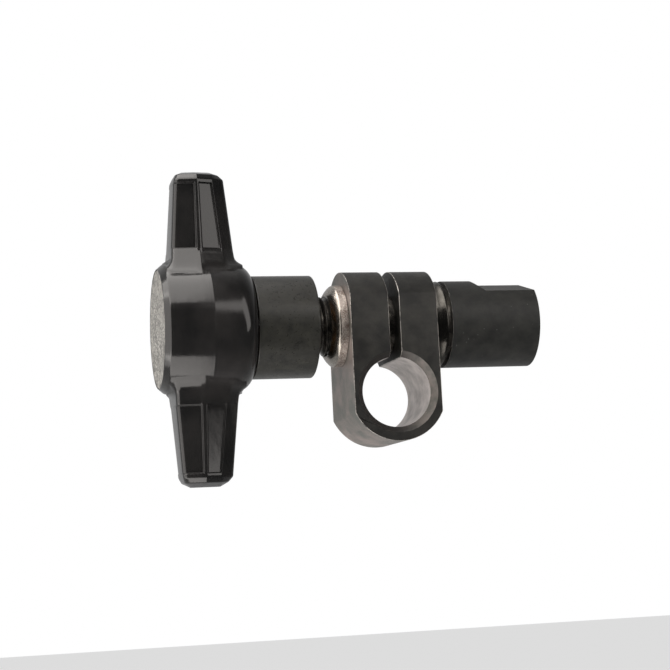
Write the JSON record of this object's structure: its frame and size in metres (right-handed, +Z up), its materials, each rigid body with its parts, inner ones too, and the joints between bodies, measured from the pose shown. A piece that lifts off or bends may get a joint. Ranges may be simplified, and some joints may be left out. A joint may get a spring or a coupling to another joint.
{
  "type": "umbrella swivel bracket",
  "caption": "Split rod clamp on a threaded swivel stud, locked by a T-handle, with a tapped round socket that turns about the same axis.",
  "frame": {"origin": "centre of the rod bore in the split clamp", "axes": "+Y along the rod bore, +X along the screw axis from the handle to the end socket, +Z up from the rod to the screw axis"},
  "size_m": [0.0892, 0.0304, 0.073],
  "materials": {
    "moulded_black": "glossy moulded plastic",
    "cap_stipple": "fine stippled texture",
    "sleeve_black": "satin black, turned",
    "clamp_black": "satin black, worn bright on the edges",
    "socket_black": "satin black with fine pitting",
    "stud_dark": "blackened steel, bright on the thread crests",
    "polished_steel": "polished, slightly warm",
    "plain_steel": "machined",
    "bush_brass": "machined"
  },
  "bodies": {
    "clamp": {"clamp_body": "clamp_black"},
    "cone_washer": {"cone_washer": "polished_steel"},
    "thrust_washer": {"polished_thrust_washer": "polished_steel"},
    "swivel": {"swivel_stud": "stud_dark", "stud_cross_pin": "plain_steel", "stud_stop_washer": "plain_steel", "stud_stop_screw": "plain_steel", "end_socket": "socket_black", "socket_thread_insert": "plain_steel", "end_float_shim": "stud_dark"},
    "thrust_ring": {"sleeve_thrust_ring": "bush_brass"},
    "handle": {"knob_body": "moulded_black", "knob_end_cap": "cap_stipple", "knob_sleeve": "sleeve_black", "knob_threaded_bush": "bush_brass", "knob_lock_nut": "plain_steel", "knob_lock_washer": "plain_steel", "knob_drive_pins": "plain_steel", "sleeve_circlip": "plain_steel"}
  },
  "joints": [
    {"name": "socket_swivel", "type": "hinge", "parent": "clamp", "child": "swivel", "pos_m": [0, 0, 0.0167], "axis": [1, 0, 0], "continuous": true},
    {"name": "knob_advance", "type": "slide", "parent": "swivel", "child": "thrust_ring", "axis": [1, 0, 0], "range_m": [-0.00428, 0.00502]},
    {"name": "knob_turn", "type": "hinge", "parent": "thrust_ring", "child": "handle", "pos_m": [0, 0, 0.0167], "axis": [1, 0, 0], "range_deg": [-1026.1, 1206.1]},
    {"name": "cone_washer_spin", "type": "hinge", "parent": "clamp", "child": "cone_washer", "pos_m": [0, 0, 0.0167], "axis": [1, 0, 0], "continuous": true},
    {"name": "thrust_washer_spin", "type": "hinge", "parent": "clamp", "child": "thrust_washer", "pos_m": [0, 0, 0.0167], "axis": [1, 0, 0], "continuous": true}
  ],
  "couplings": [
    {"joint": "knob_turn", "follows": "knob_advance", "rad_per_m": 4188.8}
  ]
}
